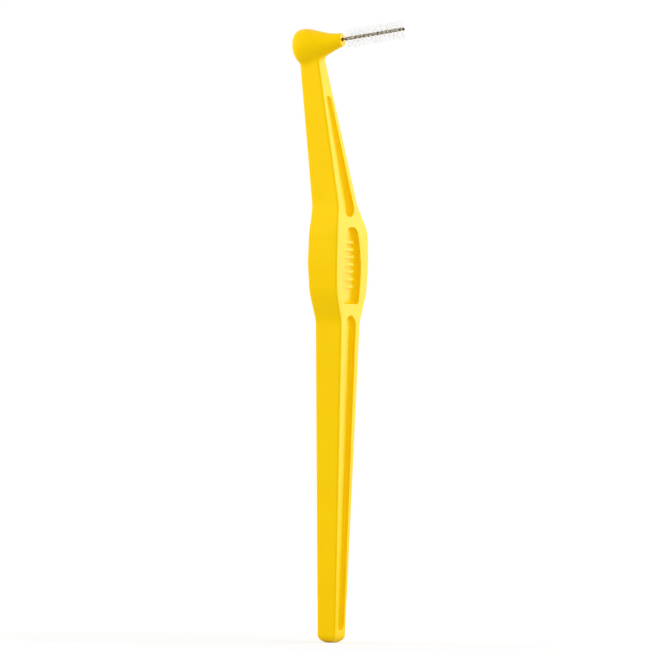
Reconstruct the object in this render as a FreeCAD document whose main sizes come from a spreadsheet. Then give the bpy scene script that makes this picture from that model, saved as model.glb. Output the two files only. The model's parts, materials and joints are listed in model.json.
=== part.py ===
"""Interdental brush: a moulded angled handle, a folded and twisted wire and rows of nylon filaments.

Millimetres and degrees. +Z runs up the handle, the brush points along +X, and the grip is wide along Y.
The origin is the lowest point of the handle's end.
"""
import FreeCAD
import Part
import Sketcher
import math
import os

# Shortest distance at which two places count as different
MATCH = 1e-4
# Least share of its length that a parallel vector has along the other
PARALLEL_SHARE = 0.999
# Angles, in degrees, at which two faces make a crease, and between which they make a rim
CREASE_ANGLE = 5
RIM_LEAST_ANGLE = 60
RIM_MOST_ANGLE = 120
CORNER = "corner"
CREST = "crest"
FRONT = 1
BACK = -1

# Driving sizes. Rises and lengths are along Z, widths along Y and thicknesses along X.
SIZES = [
    # Handle seen from the front, from its end upwards
    ("end_width", 5.35),
    ("end_crown", 0.7),
    ("end_corner_radius", 1.8),
    ("shaft_length", 78.4),
    ("shaft_width", 9.55),
    ("grip_low_rise", 6.9),
    ("grip_low_narrowing", 0.9),
    ("grip_rise", 7.0),
    ("grip_width", 15.9),
    ("grip_high_rise", 8.1),
    ("grip_high_narrowing", 0.6),
    ("neck_rise", 6.1),
    ("neck_width", 9.7),
    ("neck_length", 39.5),
    ("neck_top_width", 3.2),
    ("shoulder_radius", 7.0),
    ("grip_side_radius", 30.0),
    # Handle seen from the side
    ("end_thickness", 5.0),
    ("end_bevel", 1.2),
    ("end_edge_radius", 1.5),
    ("shaft_thickness", 7.3),
    ("grip_front", 3.85),
    ("grip_back", 4.4),
    ("bend_front", 3.75),
    ("bend_front_rise", 7.9),
    ("bend_back", 4.4),
    ("bend_back_rise", 9.1),
    ("neck_setback", 9.45),
    ("neck_top_thickness", 5.05),
    ("bend_radius", 25.0),
    ("edge_radius", 0.5),
    # Grooves and thumb recess in both wide faces
    ("groove_margin", 3.2),
    ("groove_low_width", 3.0),
    ("groove_overlap", 1.2),
    ("groove_high_width", 4.75),
    ("groove_low_depth", 0.85),
    ("groove_high_depth", 1.12),
    ("recess_depth", 1.5),
    ("recess_low_reach", 9.4),
    ("recess_low_width", 6.5),
    ("recess_width", 7.5),
    ("recess_high_reach", 8.8),
    ("recess_high_width", 4.2),
    ("recess_low_radius", 0.8),
    ("recess_high_radius", 1.8),
    ("neck_groove_overlap", 2.6),
    ("neck_groove_low_width", 5.0),
    ("neck_groove_margin", 12.2),
    ("neck_groove_high_width", 2.1),
    ("neck_groove_low_depth", 1.45),
    ("neck_groove_high_depth", 0.3),
    ("groove_draft", 12.0),
    ("floor_radius", 0.7),
    # Raised ribs in the thumb recess
    ("rib_length", 4.4),
    ("rib_width", 0.7),
    ("rib_rise", 0.45),
    ("rib_span", 10.8),
    ("rib_count", 7),
    # Head, placed by the middle of its knob at the top of the neck
    ("knob_setback", 1.66),
    ("knob_sink", 0.62),
    ("wire_tilt", 9.0),
    ("knob_length", 3.1),
    ("knob_radius", 4.48),
    ("knob_drop", 0.32),
    ("knob_front_radius", 6.0),
    ("knob_back_radius", 1.8),
    ("nose_length", 9.4),
    ("nose_radius", 1.58),
    ("nose_edge_radius", 0.3),
    ("nose_waist_reach", 3.0),
    ("nose_waist_radius", 2.2),
    ("nose_waist_drop", 0.3),
    ("nose_blend_radius", 12.0),
    ("head_blend_radius", 1.6),
    # Wire
    ("leg_radius", 0.2),
    ("filament_radius", 0.05),
    ("leg_clearance", 0.01),
    ("bore_clearance", 0.03),
    ("twist_pitch", 2.5),
    ("anchor_depth", 8.0),
    ("flex_reach", 0.2),
    ("flex_spacing", 0.8),
    ("joint_gap", 0.28),
    ("wire_reach", 17.6),
    # Filaments
    ("filament_length", 4.8),
    ("filament_margin", 0.21),
    ("filament_spacing", 0.125),
    ("overrun", 2.0),
]

doc = FreeCAD.newDocument("interdental_brush")
sheet = doc.addObject("Spreadsheet::Sheet", "sizes")
for row, (alias, number) in enumerate(SIZES, 1):
    sheet.set(f"A{row}", alias)
    sheet.set(f"B{row}", str(number))
    sheet.setAlias(f"B{row}", alias)
doc.recompute()


def size(alias):
    """Return a driving size from the sheet."""
    return float(sheet.get(alias))


def worked(expression):
    """Work out an expression of driving sizes."""
    return float(sheet.evalExpression(expression))


def half(alias):
    """Return the expression of half a driving size."""
    return f"sizes.{alias} / 2"


# Heights that the pieces share, each built on the one below it
FOOT = "sizes.shaft_length"
GRIP_LOW = f"({FOOT} + sizes.grip_low_rise)"
GRIP = f"({GRIP_LOW} + sizes.grip_rise)"
GRIP_HIGH = f"({GRIP} + sizes.grip_high_rise)"
NECK = f"({GRIP_HIGH} + sizes.neck_rise)"
TOP = f"({NECK} + sizes.neck_length)"
BEND_FRONT = f"({GRIP} + sizes.bend_front_rise)"
BEND_BACK = f"({GRIP} + sizes.bend_back_rise)"


def origin_feature(body, role):
    """Return one of a body's own origin planes or axes."""
    return next(feature for feature in body.Origin.OriginFeatures if feature.Role == role)


def new_sketch(body, name, role, base=None, turn=None):
    """Add a sketch on an origin plane; base and turn move it by expressions."""
    sketch = body.newObject("Sketcher::SketchObject", name)
    sketch.AttachmentSupport = (origin_feature(body, role), [""])
    sketch.MapMode = "FlatFace"
    if turn:
        axis, angle = turn
        sketch.AttachmentOffset = FreeCAD.Placement(FreeCAD.Vector(), FreeCAD.Rotation(axis, 1))
        sketch.setExpression("AttachmentOffset.Rotation.Angle", angle)
    for letter, expression in zip("xyz", base or ()):
        sketch.setExpression(f"AttachmentOffset.Base.{letter}", expression)
    return sketch


def pin(sketch, geometry, point, place):
    """Hold a sketch point at a place given by two expressions."""
    origin = (-1, 1)
    axes = (-2, -1)
    for kind, axis, expression in zip(("DistanceX", "DistanceY"), axes, place):
        if expression == "0":
            sketch.addConstraint(Sketcher.Constraint("PointOnObject", geometry, point, axis))
            continue
        length = worked(expression)
        index = sketch.addConstraint(Sketcher.Constraint(kind, *origin, geometry, point, length))
        sketch.setExpression(f"Constraints[{index}]", expression)


def draw(sketch, points):
    """Draw a closed outline through corners; a crest between two corners makes that side an arc."""
    places = [FreeCAD.Vector(worked(x), worked(y), 0) for x, y, _ in points]
    corners = [index for index, point in enumerate(points) if point[2] == CORNER]
    sides = []
    for here, there in zip(corners, corners[1:] + corners[:1]):
        middle = (here + 1) % len(points)
        if middle == there:
            line = sketch.addGeometry(Part.LineSegment(places[here], places[there]), False)
            sides.append((line, 1, 2))
        else:
            arc = sketch.addGeometry(Part.Arc(places[here], places[middle], places[there]), False)
            start = sketch.getPoint(arc, 1)
            runs_on = start.distanceToPoint(places[here]) < start.distanceToPoint(places[there])
            sides.append((arc, 1, 2) if runs_on else (arc, 2, 1))
            crest = sketch.addGeometry(Part.Point(places[middle]), True)
            pin(sketch, crest, 1, points[middle][:2])
            sketch.addConstraint(Sketcher.Constraint("PointOnObject", crest, 1, arc))
        pin(sketch, sides[-1][0], sides[-1][1], points[here][:2])
    for (side, _, end), (following, start, _) in zip(sides, sides[1:] + sides[:1]):
        sketch.addConstraint(Sketcher.Constraint("Coincident", side, end, following, start))


def mirrored(points):
    """Close a right-hand half outline with its mirror image on the left."""
    left = [(x if x == "0" else f"-({x})", y, kind) for x, y, kind in reversed(points) if x != "0"]
    return points + left


def fillet(body, name, edges, radius):
    """Round the named edges of a body's last feature."""
    base = body.Tip
    feature = body.newObject("PartDesign::Fillet", name)
    feature.Base = (base, edges)
    feature.setExpression("Radius", radius)
    doc.recompute()
    return feature


def edge_names(shape, wanted):
    """Name the edges of a shape that a test accepts."""
    return [f"Edge{number}" for number, edge in enumerate(shape.Edges, 1) if wanted(edge)]


def middle_of(edge):
    """Return the point halfway along an edge's parameter range."""
    return edge.valueAt((edge.FirstParameter + edge.LastParameter) / 2)


def runs_through(edge, along, places):
    """Tell whether a straight edge runs along an axis through one of some places."""
    start, end = edge.Vertexes[0].Point, edge.Vertexes[-1].Point
    offset = end - start
    if offset.Length == 0 or abs(offset.normalize().dot(along)) < PARALLEL_SHARE:
        return False
    for place in places:
        gap = start - place
        if (gap - along * gap.dot(along)).Length < MATCH:
            return True
    return False


def sharpness(shape, edge):
    """Return the angle between the two faces that meet at an edge, in degrees."""
    faces = shape.ancestorsOfType(edge, Part.Face)
    if len(faces) != 2:
        return 0.0
    point = middle_of(edge)
    normals = [face.normalAt(*face.Surface.parameter(point)) for face in faces]
    return math.degrees(normals[0].getAngle(normals[1]))


def cut(body, name, sketch, **settings):
    """Cut a sketch out of a body and make sure that material went."""
    before = body.Shape.Volume
    pocket = body.newObject("PartDesign::Pocket", name)
    pocket.Profile = sketch
    length = settings.pop("length", None)
    taper = settings.pop("taper", None)
    for setting, choice in settings.items():
        setattr(pocket, setting, choice)
    if length:
        pocket.setExpression("Length", length)
    if taper:
        pocket.setExpression("TaperAngle", taper)
    doc.recompute()
    if body.Shape.Volume >= before:
        raise RuntimeError(f"{name} cuts nothing")
    return pocket


# Handle blank: the front outline, cut by the two side outlines
X_AXIS = FreeCAD.Vector(1, 0, 0)
Y_AXIS = FreeCAD.Vector(0, 1, 0)
FRONT_CORNERS = {
    "end": (half("end_width"), "sizes.end_crown"),
    "foot": (half("shaft_width"), FOOT),
    "grip_low": ("(sizes.grip_width - sizes.grip_low_narrowing) / 2", GRIP_LOW),
    "grip": (half("grip_width"), GRIP),
    "grip_high": ("(sizes.grip_width - sizes.grip_high_narrowing) / 2", GRIP_HIGH),
    "neck": (half("neck_width"), NECK),
    "neck_top": (half("neck_top_width"), TOP),
}
FRONT_OUTLINE = mirrored([("0", "0", CREST)] + [(y, z, CORNER) for y, z in FRONT_CORNERS.values()])
FRONT_ROUNDS = {
    "end_corner_radius": ("end",),
    "grip_side_radius": ("grip",),
    "shoulder_radius": ("foot", "grip_low", "grip_high", "neck"),
}
SIDE_FAR = "sizes.neck_setback + sizes.shaft_thickness + sizes.overrun"
SIDE_LOW = "-sizes.overrun"
SIDE_TOP = f"{TOP} + sizes.overrun"
SIDE_OUTLINES = {
    "front_side": [
        ("sizes.end_thickness / 2 - sizes.end_bevel - sizes.overrun", SIDE_LOW),
        (half("end_thickness"), "sizes.end_bevel"),
        (half("shaft_thickness"), FOOT),
        ("sizes.grip_front", GRIP),
        ("sizes.bend_front", BEND_FRONT),
        ("sizes.neck_top_thickness / 2 - sizes.neck_setback", TOP),
        ("sizes.neck_top_thickness / 2 - sizes.neck_setback", SIDE_TOP),
        (SIDE_FAR, SIDE_TOP),
        (SIDE_FAR, SIDE_LOW),
    ],
    "back_side": [
        ("sizes.end_bevel + sizes.overrun - sizes.end_thickness / 2", SIDE_LOW),
        ("-sizes.end_thickness / 2", "sizes.end_bevel"),
        ("-sizes.shaft_thickness / 2", FOOT),
        ("-sizes.grip_back", GRIP),
        ("-sizes.bend_back", BEND_BACK),
        ("-sizes.neck_top_thickness / 2 - sizes.neck_setback", TOP),
        ("-sizes.neck_top_thickness / 2 - sizes.neck_setback", SIDE_TOP),
        (f"-({SIDE_FAR})", SIDE_TOP),
        (f"-({SIDE_FAR})", SIDE_LOW),
    ],
}
SIDE_ROUNDS = {"end_edge_radius": slice(1, 2), "bend_radius": slice(2, 5)}


def front_places(names):
    """Return the places of front outline corners, on both sides."""
    places = []
    for name in names:
        across, height = FRONT_CORNERS[name]
        for side in (1, -1):
            places.append(FreeCAD.Vector(0, side * worked(across), worked(height)))
    return places


def make_blank(body):
    """Pad the front outline, cut it to the side outlines and round its edges."""
    front = new_sketch(body, "front_outline", "YZ_Plane")
    draw(front, FRONT_OUTLINE)
    blank = body.newObject("PartDesign::Pad", "blank")
    blank.Profile = front
    blank.SideType = "Symmetric"
    blank.setExpression("Length", f"2 * ({SIDE_FAR})")
    doc.recompute()
    for radius, names in FRONT_ROUNDS.items():
        places = front_places(names)
        edges = edge_names(body.Shape, lambda edge: runs_through(edge, X_AXIS, places))
        fillet(body, radius.replace("_radius", "_round"), edges, f"sizes.{radius}")

    for name, points in SIDE_OUTLINES.items():
        side = new_sketch(body, name, "XZ_Plane")
        draw(side, [(x, z, CORNER) for x, z in points])
        cut(body, f"{name}_cut", side, Type="ThroughAll", SideType="Symmetric")
        for radius, corners in SIDE_ROUNDS.items():
            places = [FreeCAD.Vector(worked(x), 0, worked(z)) for x, z in points[corners]]
            edges = edge_names(body.Shape, lambda edge: runs_through(edge, Y_AXIS, places))
            fillet(body, f"{name}_{radius.replace('radius', 'round')}", edges, f"sizes.{radius}")

    shape = body.Shape
    top = worked(TOP)

    def is_rim(edge):
        return RIM_LEAST_ANGLE < sharpness(shape, edge) < RIM_MOST_ANGLE and middle_of(edge).z < top - MATCH

    fillet(body, "edge_round", edge_names(shape, is_rim), "sizes.edge_radius")


# Recesses in the wide faces: outlines on their floors, across (Y) and up, and cut outwards
RECESS_CUT = "(sizes.grip_front + sizes.grip_back)"
FACES = {FRONT: SIDE_OUTLINES["front_side"], BACK: SIDE_OUTLINES["back_side"]}
# Corners of a face's outline that each floor lies under, and its depth under them
GROOVE_FLOOR = {1: "sizes.groove_low_depth", 2: "sizes.groove_high_depth"}
RECESS_FLOOR = {3: "sizes.recess_depth"}
NECK_GROOVE_FLOOR = {4: "sizes.neck_groove_low_depth", 5: "sizes.neck_groove_high_depth"}
# Each groove's low end, low width, high end and high width
GROOVE = (
    "sizes.groove_margin",
    "sizes.groove_low_width",
    f"{FOOT} + sizes.groove_overlap",
    "sizes.groove_high_width",
)
NECK_GROOVE = (
    f"{NECK} - sizes.neck_groove_overlap",
    "sizes.neck_groove_low_width",
    f"{TOP} - sizes.neck_groove_margin",
    "sizes.neck_groove_high_width",
)
# Ends of the thumb recess, measured from the middle of the grip
RECESS_ENDS = {
    "low": (half("recess_low_width"), "-sizes.recess_low_reach"),
    "high": (half("recess_high_width"), "sizes.recess_high_reach"),
}
RECESS_OUTLINE = mirrored([
    (*RECESS_ENDS["low"], CORNER),
    (half("recess_width"), "0", CREST),
    (*RECESS_ENDS["high"], CORNER),
])


def draw_slot(sketch, outline, level):
    """Draw a tapering slot with round ends, its heights measured from a level."""
    low, low_width, high, high_width = outline
    ends = [
        (f"{low} + {low_width} / 2 - ({level})", f"{low_width} / 2", math.pi),
        (f"{high} - {high_width} / 2 - ({level})", f"{high_width} / 2", 0),
    ]
    arcs = []
    for height, radius, start in ends:
        centre = FreeCAD.Vector(0, worked(height), 0)
        length = worked(radius)
        circle = Part.Circle(centre, FreeCAD.Vector(0, 0, 1), length)
        arc = sketch.addGeometry(Part.ArcOfCircle(circle, start, start + math.pi), False)
        pin(sketch, arc, 3, ("0", height))
        index = sketch.addConstraint(Sketcher.Constraint("Radius", arc, length))
        sketch.setExpression(f"Constraints[{index}]", radius)
        arcs.append(arc)
    bottom, top = arcs
    for bottom_point, top_point in ((2, 1), (1, 2)):
        side = Part.LineSegment(sketch.getPoint(bottom, bottom_point), sketch.getPoint(top, top_point))
        line = sketch.addGeometry(side, False)
        sketch.addConstraint(Sketcher.Constraint("Tangent", bottom, bottom_point, line, 1))
        sketch.addConstraint(Sketcher.Constraint("Tangent", line, 2, top, top_point))


def floor_edges(shape, normal, distance):
    """Name the edges that lie in a floor plane."""
    def on_floor(edge):
        points = [vertex.Point for vertex in edge.Vertexes] + [middle_of(edge)]
        return all(abs(point.dot(normal) - distance) < MATCH for point in points)
    return edge_names(shape, on_floor)


def floor_sketch(body, name, side, floor):
    """Add a sketch on a recess's floor, placed by the first corner above it and leaning towards the next."""
    places = []
    for corner, depth in floor.items():
        face, height = FACES[side][corner]
        places.append((f"({face} - {side} * {depth})", height))
    place, level = places[0]
    turn = None
    for further, height in places[1:]:
        turn = (X_AXIS, f"atan(({further} - {place}) / ({height} - ({level})))")
    sketch = new_sketch(body, name, "YZ_Plane", ("0", level, place), turn)
    doc.recompute()
    return sketch, level


def cut_recess(body, name, sketch, side):
    """Cut a recess outwards from its floor with drafted walls."""
    cut(body, f"{name}_cut", sketch, Reversed=side == FRONT, length=RECESS_CUT, taper="sizes.groove_draft")


def round_floor(body, name, sketch):
    """Round the edge all round a recess's floor."""
    normal = sketch.Placement.Rotation.multVec(FreeCAD.Vector(0, 0, 1))
    edges = floor_edges(body.Shape, normal, sketch.Placement.Base.dot(normal))
    fillet(body, f"{name}_floor", edges, "sizes.floor_radius")


def make_groove(body, name, side, outline, floor):
    """Cut one long groove."""
    sketch, level = floor_sketch(body, f"{name}_outline", side, floor)
    draw_slot(sketch, outline, level)
    cut_recess(body, name, sketch, side)
    round_floor(body, name, sketch)


def make_thumb_recess(body, name, side):
    """Cut the recess in the middle of the grip and round its corners."""
    sketch, middle = floor_sketch(body, f"{name}_outline", side, RECESS_FLOOR)
    draw(sketch, RECESS_OUTLINE)
    cut_recess(body, name, sketch, side)
    floor = sketch.Placement.Base.x
    for end, (across, reach) in RECESS_ENDS.items():
        height = worked(f"{middle} + {reach}")
        corners = [FreeCAD.Vector(floor, y_side * worked(across), height) for y_side in (1, -1)]

        def rises(edge):
            points = [vertex.Point for vertex in edge.Vertexes]
            starts = any(point.distanceToPoint(corner) < MATCH for point in points for corner in corners)
            return starts and any(abs(point.x - floor) > MATCH for point in points)

        fillet(body, f"{name}_{end}_corner", edge_names(body.Shape, rises), f"sizes.recess_{end}_radius")
    round_floor(body, name, sketch)


def make_ribs(body, name, side):
    """Raise a row of plain ribs on the floor of the thumb recess."""
    sketch, _ = floor_sketch(body, f"{name}_outline", side, RECESS_FLOOR)
    low = "-(sizes.rib_span + sizes.rib_width) / 2"
    draw(sketch, mirrored([
        (half("rib_length"), low, CORNER),
        (half("rib_length"), f"{low} + sizes.rib_width", CORNER),
    ]))
    rib = body.newObject("PartDesign::Pad", name)
    rib.Profile = sketch
    rib.Reversed = side == BACK
    rib.setExpression("Length", "sizes.rib_rise")
    doc.recompute()
    row = body.newObject("PartDesign::LinearPattern", f"{name}_row")
    row.Originals = [rib]
    row.Direction = (origin_feature(body, "Z_Axis"), [""])
    row.setExpression("Length", "sizes.rib_span")
    row.setExpression("Occurrences", "sizes.rib_count")
    body.Tip = row
    doc.recompute()


# Head: a round knob and a tapering nose along the wire's axis, with the wire's bore
TILT = math.radians(size("wire_tilt"))
WIRE_AXIS = FreeCAD.Vector(math.cos(TILT), 0, math.sin(TILT))
WIRE_UP = FreeCAD.Vector(-math.sin(TILT), 0, math.cos(TILT))
KNOB_PLACE = "-(sizes.neck_setback + sizes.knob_setback)"
KNOB_HEIGHT = f"{TOP} - sizes.knob_sink"
# Distances back along the axis from the tip of the nose, where the wire leaves it
KNOB_MIDDLE = "(sizes.nose_length + sizes.knob_length / 2)"
KNOB_FRONT = "sizes.nose_length"
KNOB_BACK = "(sizes.nose_length + sizes.knob_length)"
WIRE_EXIT = FreeCAD.Vector(worked(KNOB_PLACE), 0, worked(KNOB_HEIGHT)) + WIRE_AXIS * worked(KNOB_MIDDLE)
WIRE_RADIUS = "(2 * sizes.leg_radius + sizes.filament_radius + sizes.leg_clearance)"
# Most that the round at the knob's back may take of its length
KNOB_BACK_ROUND_SHARE = 0.65


def wire_plane(body, name, distance):
    """Add a sketch square to the wire's axis, a distance back from the tip of the nose."""
    ahead = f"({KNOB_MIDDLE} - {distance})"
    base = (
        "0",
        f"{KNOB_HEIGHT} + {ahead} * sin(sizes.wire_tilt)",
        f"{KNOB_PLACE} + {ahead} * cos(sizes.wire_tilt)",
    )
    sketch = new_sketch(body, name, "YZ_Plane", base, (X_AXIS, "-sizes.wire_tilt"))
    doc.recompute()
    return sketch


def draw_circle(sketch, radius, height):
    """Draw a circle whose centre lies at a height on the sketch's vertical axis."""
    centre = FreeCAD.Vector(0, worked(height), 0)
    length = worked(radius)
    circle = sketch.addGeometry(Part.Circle(centre, FreeCAD.Vector(0, 0, 1), length), False)
    pin(sketch, circle, 3, ("0", height))
    index = sketch.addConstraint(Sketcher.Constraint("Radius", circle, length))
    sketch.setExpression(f"Constraints[{index}]", radius)


def rim_of(distance, radius, drop=0.0):
    """Return a test for a circular edge, a distance back from the nose and a drop below the wire's axis."""
    centre = WIRE_EXIT - WIRE_AXIS * distance - WIRE_UP * drop

    def is_rim(edge):
        curve = edge.Curve
        if not isinstance(curve, Part.Circle) or abs(curve.Radius - radius) > MATCH:
            return False
        return curve.Center.distanceToPoint(centre) < MATCH
    return is_rim


def make_head(body):
    """Make the knob and its nose in a body of their own."""
    back = wire_plane(body, "knob_outline", KNOB_BACK)
    draw_circle(back, "sizes.knob_radius", "-sizes.knob_drop")
    knob = body.newObject("PartDesign::Pad", "knob")
    knob.Profile = back
    knob.setExpression("Length", "sizes.knob_length")
    doc.recompute()
    is_back = rim_of(worked(KNOB_BACK), size("knob_radius"), size("knob_drop"))
    back_radius = f"min(sizes.knob_back_radius; {KNOB_BACK_ROUND_SHARE} * sizes.knob_length)"
    fillet(body, "knob_back_round", edge_names(body.Shape, is_back), back_radius)

    tip = wire_plane(body, "nose_tip_outline", "0")
    draw_circle(tip, "sizes.nose_radius", "0")
    waist = wire_plane(body, "nose_waist_outline", "sizes.nose_waist_reach")
    draw_circle(waist, "sizes.nose_waist_radius", "-sizes.nose_waist_drop")
    root = wire_plane(body, "nose_root_outline", KNOB_FRONT)
    draw_circle(root, "sizes.knob_radius", "-sizes.knob_drop")
    nose = body.newObject("PartDesign::AdditiveLoft", "nose")
    nose.Profile = tip
    nose.Sections = [waist, root]
    nose.Ruled = True
    doc.recompute()
    is_waist = rim_of(size("nose_waist_reach"), size("nose_waist_radius"), size("nose_waist_drop"))
    fillet(body, "nose_blend", edge_names(body.Shape, is_waist), "sizes.nose_blend_radius")
    is_front = rim_of(worked(KNOB_FRONT), size("knob_radius"), size("knob_drop"))
    fillet(body, "knob_front_round", edge_names(body.Shape, is_front), "sizes.knob_front_radius")
    is_tip = rim_of(0, size("nose_radius"))
    fillet(body, "nose_edge", edge_names(body.Shape, is_tip), "sizes.nose_edge_radius")


def join_head(body, form):
    """Fuse the head onto the neck, blend the joint and bore the head for the wire."""
    joined = body.newObject("PartDesign::Boolean", "head")
    joined.setObjects([form])
    joined.Type = "Fuse"
    doc.recompute()
    shape = body.Shape
    neck = worked(NECK)
    joint = edge_names(shape, lambda edge: sharpness(shape, edge) > CREASE_ANGLE and middle_of(edge).z > neck)
    fillet(body, "head_blend", joint, "sizes.head_blend_radius")
    bore = wire_plane(body, "bore_outline", "0")
    draw_circle(bore, f"{WIRE_RADIUS} + sizes.bore_clearance", "0")
    cut(body, "bore", bore, length="sizes.anchor_depth + sizes.bore_clearance")


head_form = doc.addObject("PartDesign::Body", "head_form")
make_head(head_form)
handle = doc.addObject("PartDesign::Body", "handle")
make_blank(handle)
join_head(handle, head_form)
for side, label in ((FRONT, "front"), (BACK, "back")):
    make_groove(handle, f"{label}_groove", side, GROOVE, GROOVE_FLOOR)
    make_thumb_recess(handle, f"{label}_recess", side)
    make_ribs(handle, f"{label}_rib", side)
    make_groove(handle, f"{label}_neck_groove", side, NECK_GROOVE, NECK_GROOVE_FLOOR)

# Wire: two legs twisted round one axis and joined by the fold at the tip, split where it bends
LEG_OFFSET = size("leg_radius") + size("filament_radius") + size("leg_clearance")
LEGS = (1, -1)
ARCS_PER_TURN = 4
PITCH_BEND = size("flex_reach")
YAW_BEND = PITCH_BEND + size("flex_spacing")
HALF_GAP = size("joint_gap") / 2
STEM_START = YAW_BEND + HALF_GAP
FOLD_START = size("wire_reach") - size("leg_radius") - LEG_OFFSET


def twist(distance):
    """Return the direction from the axis to the first leg, and the one square to it, at a distance."""
    angle = 2 * math.pi * distance / size("twist_pitch")
    towards = WIRE_UP * math.cos(angle) + Y_AXIS * math.sin(angle)
    across = Y_AXIS * math.cos(angle) - WIRE_UP * math.sin(angle)
    return towards, across


def leg_state(distance, leg):
    """Return the centre of a leg and its direction towards the tip."""
    towards, across = twist(distance)
    place = WIRE_EXIT + WIRE_AXIS * distance + towards * (leg * LEG_OFFSET)
    climb = 2 * math.pi * LEG_OFFSET / size("twist_pitch")
    direction = WIRE_AXIS + across * (leg * climb)
    return place, direction.normalize()


def arc_from(start, direction, end):
    """Return the arc that leaves a point in a direction and ends at another point."""
    chord = end - start
    straight = FreeCAD.Vector(chord).normalize()
    bulge = direction - straight * direction.dot(straight)
    half_turn = direction.getAngle(straight)
    sagitta = chord.Length / 2 * math.tan(half_turn / 2)
    middle = start + chord / 2 + bulge.normalize() * sagitta
    return Part.Arc(start, middle, end).toShape()


def biarc(start, end):
    """Return two arcs that join two points and keep the direction at each."""
    (point, heading), (goal, arrival) = start, end
    span = goal - point
    both = heading + arrival
    spread = 2 * (1 - heading.dot(arrival))
    reach = (math.sqrt(span.dot(both) ** 2 + spread * span.dot(span)) - span.dot(both)) / spread
    joint = (point + goal + (heading - arrival) * reach) / 2
    return [arc_from(point, heading, joint), arc_from(goal, arrival * -1, joint)]


def leg_path(start, end, leg):
    """Return the arcs of one leg between two distances along the axis."""
    count = math.ceil(ARCS_PER_TURN * abs(end - start) / size("twist_pitch"))
    stops = [start + (end - start) * step / count for step in range(count + 1)]
    arcs = []
    for here, there in zip(stops, stops[1:]):
        arcs += biarc(leg_state(here, leg), leg_state(there, leg))
    return arcs


def tube(arcs, start):
    """Sweep the round wire along arcs from a starting place and direction."""
    place, direction = start
    path = Part.Wire(Part.__sortEdges__(arcs))
    ring = Part.Wire(Part.makeCircle(size("leg_radius"), place, direction))
    shell = Part.BRepOffsetAPI.MakePipeShell(path)
    shell.add(ring)
    shell.build()
    shell.makeSolid()
    solid = shell.shape()
    expected = math.pi * size("leg_radius") ** 2 * path.Length
    print(f"wire tube: volume {solid.Volume:.4f}, section times length {expected:.4f}")
    return solid


def add_node(name, shape):
    """Add a sub-part made from ready shapes."""
    feature = doc.addObject("Part::Feature", name)
    feature.Shape = shape
    return feature


def leg_pair(start, end):
    """Return the two separate legs between two distances."""
    return Part.makeCompound([tube(leg_path(start, end, leg), leg_state(start, leg)) for leg in LEGS])


def folded_stem(start, end):
    """Return the stem: out along one leg, round the fold and back along the other."""
    first, second = LEGS
    fold_out, fold_back = leg_state(end, first), leg_state(end, second)
    fold = biarc(fold_out, (fold_back[0], fold_back[1] * -1))
    arcs = leg_path(start, end, first) + fold + leg_path(start, end, second)
    return tube(arcs, leg_state(start, first))


parts = [
    handle,
    add_node("wire_anchor", leg_pair(-size("anchor_depth"), PITCH_BEND - HALF_GAP)),
    add_node("wire_link", leg_pair(PITCH_BEND + HALF_GAP, YAW_BEND - HALF_GAP)),
    add_node("wire_stem", folded_stem(STEM_START, FOLD_START)),
]


# Filaments: each lies between the legs, square to the line that joins them, in rows of half a turn
def filament(distance):
    """Return one filament, clamped at its middle."""
    across = twist(distance)[1]
    length = size("filament_length")
    middle = WIRE_EXIT + WIRE_AXIS * distance
    return Part.makeCylinder(size("filament_radius"), length, middle - across * (length / 2), across)


spacing = size("filament_spacing")
per_row = round(size("twist_pitch") / 2 / spacing)
first_place = STEM_START + size("filament_margin")
last_place = FOLD_START - size("filament_radius")
filament_count = math.floor((last_place - first_place) / spacing) + 1
for row, start in enumerate(range(0, filament_count, per_row), 1):
    indices = range(start, min(start + per_row, filament_count))
    filaments = [filament(first_place + spacing * index) for index in indices]
    parts.append(add_node(f"filament_row_{row:02d}", Part.makeCompound(filaments)))

doc.recompute()
for thing in doc.Objects:
    if "Invalid" in thing.State or "Error" in thing.State:
        raise RuntimeError(f"{thing.Label} failed: {thing.State}")
for node in parts:
    if node.Shape.isNull() or not node.Shape.isValid():
        raise RuntimeError(f"{node.Label} has no valid shape")

os.makedirs("parts", exist_ok=True)
for node in parts:
    print(f"{node.Label}: {len(node.Shape.Solids)} solids, {node.Shape.Volume:.3f} mm3")
    node.Shape.exportStep(f"parts/{node.Label}.step")
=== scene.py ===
"""Looks of the interdental brush: a yellow plastic handle, a twisted coated wire and nylon bristles.

Everything is in metres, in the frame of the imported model.
"""
import json
import math
import random

import bpy
from mathutils import Matrix, Vector


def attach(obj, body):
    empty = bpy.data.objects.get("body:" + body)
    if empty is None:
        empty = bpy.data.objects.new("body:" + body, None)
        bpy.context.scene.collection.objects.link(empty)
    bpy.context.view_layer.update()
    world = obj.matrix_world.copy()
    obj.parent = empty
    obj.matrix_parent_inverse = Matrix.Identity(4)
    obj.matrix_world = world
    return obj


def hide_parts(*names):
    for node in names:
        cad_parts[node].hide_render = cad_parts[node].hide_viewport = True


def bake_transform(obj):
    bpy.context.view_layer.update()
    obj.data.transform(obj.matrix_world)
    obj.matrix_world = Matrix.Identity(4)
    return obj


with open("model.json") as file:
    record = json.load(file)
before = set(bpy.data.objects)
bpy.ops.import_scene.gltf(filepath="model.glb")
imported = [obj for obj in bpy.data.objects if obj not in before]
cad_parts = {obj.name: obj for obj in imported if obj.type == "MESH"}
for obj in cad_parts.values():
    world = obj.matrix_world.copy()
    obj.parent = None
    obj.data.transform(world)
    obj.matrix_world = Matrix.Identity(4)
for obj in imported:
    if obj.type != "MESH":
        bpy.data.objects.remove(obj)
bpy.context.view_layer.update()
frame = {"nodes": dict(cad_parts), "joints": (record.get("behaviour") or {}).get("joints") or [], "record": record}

MM = 0.001
SEED = 7

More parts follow.
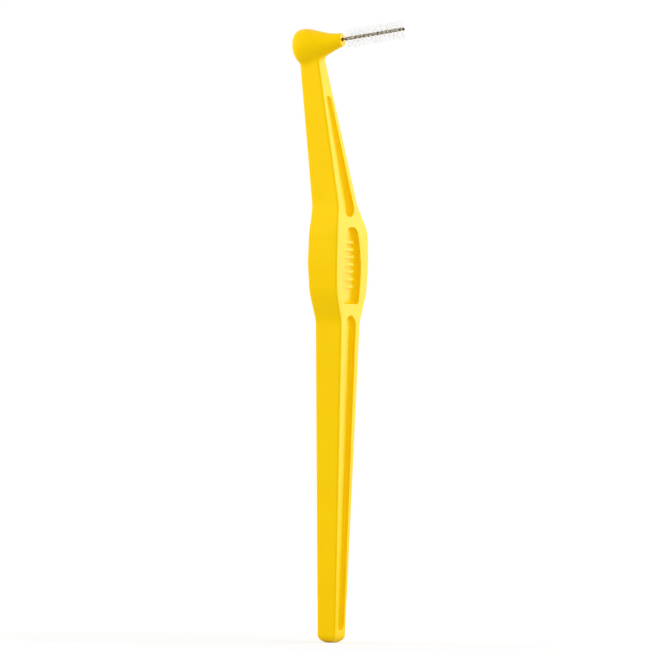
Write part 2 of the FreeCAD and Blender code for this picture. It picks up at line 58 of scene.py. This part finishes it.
# Camera of the photograph: a long lens, level, turned round the handle and slightly rolled
IMAGE_SIZE = 665
MM_PER_PIXEL = 0.2439
HANDLE_END_PIXEL = (331.1, 642.5)
CAMERA_AZIMUTH = math.radians(30)
CAMERA_ROLL = math.radians(1.19)
LENS = 800
SENSOR = 36

# Wire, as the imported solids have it: distances run along its axis from the tip of the nose
LEG_RADIUS = 0.2 * MM
LEG_OFFSET = 0.26 * MM
TWIST_PITCH = 2.5 * MM
ANCHOR_DEPTH = 7.9 * MM
FLEX_REACH = 0.2 * MM
WIRE_REACH = 17.6 * MM
FOLD_START = WIRE_REACH - LEG_RADIUS - LEG_OFFSET
STEPS_PER_TURN = 40
FOLD_STEPS = 16
LEG_SIDES = 14
# Handle length, in radii, of a cubic curve that draws a half circle
HALF_CIRCLE_SHARE = 4 / 3

# Bristles: rows of half a turn, each filament clamped at its middle
FILAMENT_RADIUS = 0.036 * MM
FILAMENT_LENGTH = 4.75 * MM
FILAMENT_START = 1.35 * MM
FILAMENT_SPACING = 0.125 * MM
FILAMENT_SIDES = 6
ARM_STEPS = 5
# Least and greatest length of a filament, and how far its arms stray along and across the wire
FILAMENT_LENGTH_SHARES = (0.93, 1.0)
LEAN_SHARE = 0.05
SWAY_SHARE = 0.06
BOW_SHARE = 0.04

# Materials: colour stops, ranges of roughness, and sizes of the grain that varies them
NOISE_DETAIL = 3.0
PLASTIC_COLOURS = [(0.3, (0.975, 0.62, 0.0)), (0.7, (1.0, 0.645, 0.0))]
PLASTIC_CLOUD = 9 * MM
PLASTIC_ROUGHNESS = (0.26, 0.36)
PLASTIC_SHEEN_GRAIN = 3 * MM
PLASTIC_SPECULAR = 0.06
SCATTER_WEIGHT = 0.2
SCATTER_RADII = (1.0, 0.55, 0.08)
SCATTER_DEPTH = 1.2 * MM
PLASTIC_GRAIN = 0.25 * MM
PLASTIC_GRAIN_DEPTH = 0.01 * MM
PLASTIC_GRAIN_STRENGTH = 0.25

# Wire colour by distance from the axis: the metal's own brownish grey outside, painted shade in the crease
WIRE_COLOURS_AND_CREASE_SHADE = [(0.45, (0.03, 0.016, 0.005)), (0.75, (0.2, 0.13, 0.055)), (1.0, (0.42, 0.33, 0.18))]
WIRE_METALLIC = 0.5
WIRE_SPECULAR = 0.25
WIRE_ROUGHNESS = (0.38, 0.52)
WIRE_SHEEN_GRAIN = 0.2 * MM
WIRE_GRAIN = 0.06 * MM
WIRE_GRAIN_DEPTH = 0.004 * MM
WIRE_GRAIN_STRENGTH = 0.4

NYLON_COLOURS = [(0.3, (0.9, 0.9, 0.89)), (0.7, (0.97, 0.97, 0.96))]
NYLON_CLOUD = 0.8 * MM
NYLON_ROUGHNESS = (0.22, 0.38)
NYLON_SHEEN_GRAIN = 0.3 * MM
NYLON_IOR = 1.3
NYLON_TRANSMISSION = 0.6

# Floor: its glow to the camera grows between the two distances from the handle, so it fades to white
FLOOR_RADIUS = 0.6
FLOOR_SIDES = 96
FLOOR_COLOUR = (0.65, 0.65, 0.65, 1)
FLOOR_ROUGHNESS = 0.9
FLOOR_GLOW = (0.28, 0.6)
FLOOR_FADE = (0.08, 0.4)

# Light: the world's strength on the object and as it is seen, then the softboxes round a point of the grip
WHITE = (1, 1, 1, 1)
WORLD_STRENGTHS = (0.7, 1.0)
LIGHT_HEIGHT = 0.09
SOFTBOXES = [
    {"name": "back_right", "direction": (0.52, 0.85, 0.14), "distance": 0.5, "width": 0.28, "radiance": 6.0},
    {"name": "left", "direction": (-0.8, -0.58, 0.35), "distance": 0.6, "width": 0.5, "radiance": 2.3},
    {"name": "front_right", "direction": (0.9, -0.2, 0.5), "distance": 0.6, "width": 0.5, "radiance": 1.0},
]

joints = {joint["name"]: joint for joint in frame["joints"]}
mounts = {mount["name"]: mount for mount in frame["record"]["mounts"]}
AXIS = Vector(mounts["brush"]["axis"]).normalized()
ACROSS = Vector((0, 1, 0))
UP = AXIS.cross(ACROSS).normalized()
PITCH_BEND = Vector(joints["wire_pitch"]["pos_m"])
YAW_BEND = Vector(joints["wire_yaw"]["pos_m"])
EXIT = PITCH_BEND - AXIS * FLEX_REACH
YAW_REACH = (YAW_BEND - EXIT).dot(AXIS)
LINK_MIDDLE = (FLEX_REACH + YAW_REACH) / 2


def on_axis(distance):
    """Return the point of the wire's axis at a distance from the nose."""
    return EXIT + AXIS * distance


# Materials
def new_material(name):
    """Add a node material and return it with its tree and shader."""
    material = bpy.data.materials.new(name)
    material.use_nodes = True
    tree = material.node_tree
    return material, tree, tree.nodes["Principled BSDF"]


def noise(tree, grain):
    """Add a noise texture in object space, with a grain of some size in metres."""
    place = tree.nodes.new("ShaderNodeTexCoord")
    texture = tree.nodes.new("ShaderNodeTexNoise")
    texture.inputs["Scale"].default_value = 1 / grain
    texture.inputs["Detail"].default_value = NOISE_DETAIL
    tree.links.new(place.outputs["Object"], texture.inputs["Vector"])
    return texture.outputs["Fac"]


def ramp(tree, value, stops):
    """Map a value to colours by (place, colour) stops."""
    node = tree.nodes.new("ShaderNodeValToRGB")
    elements = node.color_ramp.elements
    while len(elements) < len(stops):
        elements.new(0.5)
    for element, (place, colour) in zip(elements, stops):
        element.position = place
        element.color = (*colour, 1)
    tree.links.new(value, node.inputs["Fac"])
    return node.outputs["Color"]


def spread(tree, value, low, high, start=0.0, end=1.0):
    """Spread a value between start and end over a range."""
    node = tree.nodes.new("ShaderNodeMapRange")
    node.inputs["From Min"].default_value = start
    node.inputs["From Max"].default_value = end
    node.inputs["To Min"].default_value = low
    node.inputs["To Max"].default_value = high
    tree.links.new(value, node.inputs["Value"])
    return node.outputs["Result"]


def bump(tree, shader, height, depth, strength):
    """Bump a shader by a height of some depth in metres."""
    node = tree.nodes.new("ShaderNodeBump")
    node.inputs["Distance"].default_value = depth
    node.inputs["Strength"].default_value = strength
    tree.links.new(height, node.inputs["Height"])
    tree.links.new(node.outputs["Normal"], shader.inputs["Normal"])


def handle_plastic():
    """Yellow moulded plastic: semi-gloss, faintly clouded, with a fine moulded grain."""
    material, tree, shader = new_material("handle_plastic")
    colour = ramp(tree, noise(tree, PLASTIC_CLOUD), PLASTIC_COLOURS)
    tree.links.new(colour, shader.inputs["Base Color"])
    roughness = spread(tree, noise(tree, PLASTIC_SHEEN_GRAIN), *PLASTIC_ROUGHNESS)
    tree.links.new(roughness, shader.inputs["Roughness"])
    shader.inputs["Specular IOR Level"].default_value = PLASTIC_SPECULAR
    shader.inputs["Subsurface Weight"].default_value = SCATTER_WEIGHT
    shader.inputs["Subsurface Radius"].default_value = SCATTER_RADII
    shader.inputs["Subsurface Scale"].default_value = SCATTER_DEPTH
    bump(tree, shader, noise(tree, PLASTIC_GRAIN), PLASTIC_GRAIN_DEPTH, PLASTIC_GRAIN_STRENGTH)
    return material


def coated_wire():
    """Brownish grey coated steel, with painted shade that darkens it in the crease between the legs."""
    material, tree, shader = new_material("coated_wire")
    # Painted shade: the colour darkens towards the wire's axis, in the crease between the legs
    depth = tree.nodes.new("ShaderNodeAttribute")
    depth.attribute_name = "proud"
    colour = ramp(tree, depth.outputs["Fac"], WIRE_COLOURS_AND_CREASE_SHADE)
    tree.links.new(colour, shader.inputs["Base Color"])
    shader.inputs["Metallic"].default_value = WIRE_METALLIC
    shader.inputs["Specular IOR Level"].default_value = WIRE_SPECULAR
    roughness = spread(tree, noise(tree, WIRE_SHEEN_GRAIN), *WIRE_ROUGHNESS)
    tree.links.new(roughness, shader.inputs["Roughness"])
    bump(tree, shader, noise(tree, WIRE_GRAIN), WIRE_GRAIN_DEPTH, WIRE_GRAIN_STRENGTH)
    return material


def nylon():
    """Clear white nylon monofilament."""
    material, tree, shader = new_material("nylon")
    colour = ramp(tree, noise(tree, NYLON_CLOUD), NYLON_COLOURS)
    tree.links.new(colour, shader.inputs["Base Color"])
    roughness = spread(tree, noise(tree, NYLON_SHEEN_GRAIN), *NYLON_ROUGHNESS)
    tree.links.new(roughness, shader.inputs["Roughness"])
    shader.inputs["IOR"].default_value = NYLON_IOR
    shader.inputs["Transmission Weight"].default_value = NYLON_TRANSMISSION
    return material


# Tubes
def tube_rings(path, radius, sides):
    """Return rings of points round a path, each turned as little as possible from the one before."""
    rings = []
    normal = None
    for index, point in enumerate(path):
        before = path[max(index - 1, 0)]
        after = path[min(index + 1, len(path) - 1)]
        heading = (after - before).normalized()
        if normal is None:
            normal = heading.orthogonal()
        normal = (normal - heading * normal.dot(heading)).normalized()
        side = heading.cross(normal)
        ring = []
        for step in range(sides):
            angle = 2 * math.pi * step / sides
            ring.append(point + (normal * math.cos(angle) + side * math.sin(angle)) * radius)
        rings.append(ring)
    return rings


def add_tube(points, faces, path, radius, sides):
    """Add a closed tube along a path to lists of points and faces."""
    rings = tube_rings(path, radius, sides)
    first = len(points)
    for ring in rings:
        points.extend(ring)
    for row in range(len(rings) - 1):
        low = first + row * sides
        for step in range(sides):
            following = (step + 1) % sides
            faces.append((low + step, low + following, low + sides + following, low + sides + step))
    last = first + (len(rings) - 1) * sides
    faces.append(tuple(first + step for step in reversed(range(sides))))
    faces.append(tuple(last + step for step in range(sides)))


def new_piece(name, points, faces, material):
    """Make a mesh piece with a material, smooth along its tubes and flat on their ends."""
    mesh = bpy.data.meshes.new(name)
    mesh.from_pydata(points, [], faces)
    mesh.polygons.foreach_set("use_smooth", [len(face) == 4 for face in faces])
    mesh.materials.append(material)
    piece = bpy.data.objects.new(name, mesh)
    bpy.context.scene.collection.objects.link(piece)
    return piece


# Wire
def twist(distance):
    """Return the direction from the axis to the first leg, and the one square to it, at a distance."""
    angle = 2 * math.pi * distance / TWIST_PITCH
    towards = UP * math.cos(angle) + ACROSS * math.sin(angle)
    across = ACROSS * math.cos(angle) - UP * math.sin(angle)
    return towards, across


def leg_points(start, end, leg):
    """Return points along the centre of one leg."""
    count = math.ceil(abs(end - start) / TWIST_PITCH * STEPS_PER_TURN)
    points = []
    for step in range(count + 1):
        distance = start + (end - start) * step / count
        points.append(on_axis(distance) + twist(distance)[0] * (leg * LEG_OFFSET))
    return points


def fold_points():
    """Return points round the fold that joins the two legs at the tip."""
    towards, across = twist(FOLD_START)
    climb = 2 * math.pi * LEG_OFFSET / TWIST_PITCH
    ends = [on_axis(FOLD_START) + towards * (leg * LEG_OFFSET) for leg in (1, -1)]
    reach = HALF_CIRCLE_SHARE * LEG_OFFSET
    handles = [end + (AXIS + across * (leg * climb)).normalized() * reach for end, leg in zip(ends, (1, -1))]
    points = []
    for step in range(1, FOLD_STEPS):
        share = step / FOLD_STEPS
        rest = 1 - share
        points.append(ends[0] * rest ** 3 + handles[0] * (3 * rest ** 2 * share)
                      + handles[1] * (3 * rest * share ** 2) + ends[1] * share ** 3)
    return points


def wire_piece(name, paths, material):
    """Make a wire piece, noting how far each point stands from the axis for the painted crease shade."""
    points, faces = [], []
    for path in paths:
        add_tube(points, faces, path, LEG_RADIUS, LEG_SIDES)
    piece = new_piece(name, points, faces, material)
    proud = piece.data.attributes.new("proud", "FLOAT", "POINT")
    for entry, point in zip(proud.data, points):
        offset = point - EXIT
        offset -= AXIS * offset.dot(AXIS)
        entry.value = offset.length / (LEG_OFFSET + LEG_RADIUS)
    return piece


def make_wire(material):
    """Make the wire in two pieces that meet between its two bends."""
    legs = [leg_points(-ANCHOR_DEPTH, LINK_MIDDLE, leg) for leg in (1, -1)]
    root = wire_piece("wire_root", legs, material)
    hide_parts("wire_anchor")
    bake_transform(root)

    out = leg_points(LINK_MIDDLE, FOLD_START, 1)
    back = leg_points(FOLD_START, LINK_MIDDLE, -1)
    stem = wire_piece("wire_hairpin", [out + fold_points() + back], material)
    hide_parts("wire_link", "wire_stem")
    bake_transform(stem)


# Bristles
def filament_path(distance, chance):
    """Return points along one filament, a little bent and splayed."""
    towards, across = twist(distance)
    length = FILAMENT_LENGTH / 2 * chance.uniform(*FILAMENT_LENGTH_SHARES)
    centre = on_axis(distance)
    arms = []
    for side in (-1, 1):
        lean = chance.gauss(0, LEAN_SHARE)
        sway = chance.gauss(0, SWAY_SHARE)
        bow = chance.gauss(0, BOW_SHARE)
        arm = []
        for step in range(1, ARM_STEPS + 1):
            share = step / ARM_STEPS
            offset = across * side + AXIS * (lean + bow * share) + towards * (sway * share)
            arm.append(centre + offset.normalized() * (length * share))
        arms.append(arm)
    return list(reversed(arms[0])) + [centre] + arms[1]


def make_bristles(material):
    """Make one piece for each row of filaments."""
    chance = random.Random(SEED)
    rows = sorted(name for name in frame["nodes"] if name.startswith("filament_row"))
    per_row = round(TWIST_PITCH / 2 / FILAMENT_SPACING)
    for index, row in enumerate(rows):
        points, faces = [], []
        for place in range(per_row):
            distance = FILAMENT_START + FILAMENT_SPACING * (index * per_row + place)
            if distance > FOLD_START:
                continue
            add_tube(points, faces, filament_path(distance, chance), FILAMENT_RADIUS, FILAMENT_SIDES)
        piece = new_piece(f"bristle{row.removeprefix('filament')}", points, faces, material)
        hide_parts(row)
        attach(piece, "brush")


# Stage, light and camera
def add_values(tree, first, second):
    """Add two values, up to 1."""
    node = tree.nodes.new("ShaderNodeMath")
    node.operation = "ADD"
    node.use_clamp = True
    tree.links.new(first, node.inputs[0])
    tree.links.new(second, node.inputs[1])
    return node.outputs["Value"]


def seen_rays(tree):
    """Return a value that is 1 on rays from the camera, reflections and refractions."""
    path = tree.nodes.new("ShaderNodeLightPath")
    bounced = add_values(tree, path.outputs["Is Glossy Ray"], path.outputs["Is Transmission Ray"])
    return add_values(tree, path.outputs["Is Camera Ray"], bounced)


def floor_material():
    """Pale matt floor that keeps a faint shadow under the handle and fades to white further out."""
    material, tree, shader = new_material("floor")
    shader.inputs["Base Color"].default_value = FLOOR_COLOUR
    shader.inputs["Roughness"].default_value = FLOOR_ROUGHNESS
    shader.inputs["Specular IOR Level"].default_value = 0
    shader.inputs["Emission Color"].default_value = WHITE
    place = tree.nodes.new("ShaderNodeTexCoord")
    distance = tree.nodes.new("ShaderNodeVectorMath")
    distance.operation = "LENGTH"
    tree.links.new(place.outputs["Object"], distance.inputs[0])
    glow = tree.nodes.new("ShaderNodeMath")
    glow.operation = "MULTIPLY"
    tree.links.new(seen_rays(tree), glow.inputs[0])
    tree.links.new(spread(tree, distance.outputs["Value"], *FLOOR_GLOW, *FLOOR_FADE), glow.inputs[1])
    tree.links.new(glow.outputs["Value"], shader.inputs["Emission Strength"])
    return material


def make_floor():
    """Add a round floor under the handle's end."""
    points = []
    for step in range(FLOOR_SIDES):
        angle = 2 * math.pi * step / FLOOR_SIDES
        points.append((FLOOR_RADIUS * math.cos(angle), FLOOR_RADIUS * math.sin(angle), 0))
    mesh = bpy.data.meshes.new("floor")
    mesh.from_pydata(points, [], [tuple(range(FLOOR_SIDES))])
    mesh.materials.append(floor_material())
    floor = bpy.data.objects.new("floor", mesh)
    bpy.context.scene.collection.objects.link(floor)


def add_softbox(name, direction, distance, width, radiance):
    """Add a square soft light that faces the grip from a direction."""
    lamp = bpy.data.lights.new(name, "AREA")
    lamp.size = width
    lamp.energy = radiance * math.pi * width ** 2
    softbox = bpy.data.objects.new(name, lamp)
    source = Vector(direction).normalized()
    softbox.location = Vector((0, 0, LIGHT_HEIGHT)) + source * distance
    softbox.rotation_euler = source.to_track_quat("Z", "Y").to_euler()
    softbox.visible_camera = False
    bpy.context.scene.collection.objects.link(softbox)


def make_light():
    """Light the object from all round, and more from the softboxes."""
    world = bpy.data.worlds.new("studio")
    bpy.context.scene.world = world
    world.use_nodes = True
    tree = world.node_tree
    background = tree.nodes["Background"]
    background.inputs["Color"].default_value = WHITE
    tree.links.new(spread(tree, seen_rays(tree), *WORLD_STRENGTHS), background.inputs["Strength"])
    for softbox in SOFTBOXES:
        add_softbox(**softbox)


def camera_axes():
    """Return the camera's right, up and backward directions, roll included."""
    level_right = Vector((math.cos(CAMERA_AZIMUTH), math.sin(CAMERA_AZIMUTH), 0))
    backward = Vector((math.sin(CAMERA_AZIMUTH), -math.cos(CAMERA_AZIMUTH), 0))
    level_up = Vector((0, 0, 1))
    right = level_right * math.cos(CAMERA_ROLL) + level_up * math.sin(CAMERA_ROLL)
    return right, backward.cross(right), backward


def make_camera():
    """Add the photograph's camera: the handle's end lies at its pixel and the scale is the photograph's."""
    right, up, backward = camera_axes()
    pixel = MM_PER_PIXEL * MM
    across = (IMAGE_SIZE / 2 - HANDLE_END_PIXEL[0]) * pixel
    above = (HANDLE_END_PIXEL[1] - IMAGE_SIZE / 2) * pixel
    distance = IMAGE_SIZE * pixel * LENS / SENSOR
    place = right * across + up * above + backward * distance
    data = bpy.data.cameras.new("camera")
    data.lens = LENS
    data.sensor_width = SENSOR
    camera = bpy.data.objects.new("camera", data)
    turn = Matrix((right, up, backward)).transposed()
    camera.matrix_world = Matrix.Translation(place) @ turn.to_4x4()
    bpy.context.scene.collection.objects.link(camera)
    bpy.context.scene.camera = camera


frame["nodes"]["handle"].material_slots[0].material = handle_plastic()
make_wire(coated_wire())
make_bristles(nylon())
make_floor()
make_light()
make_camera()
bpy.context.scene.view_settings.view_transform = "Standard"
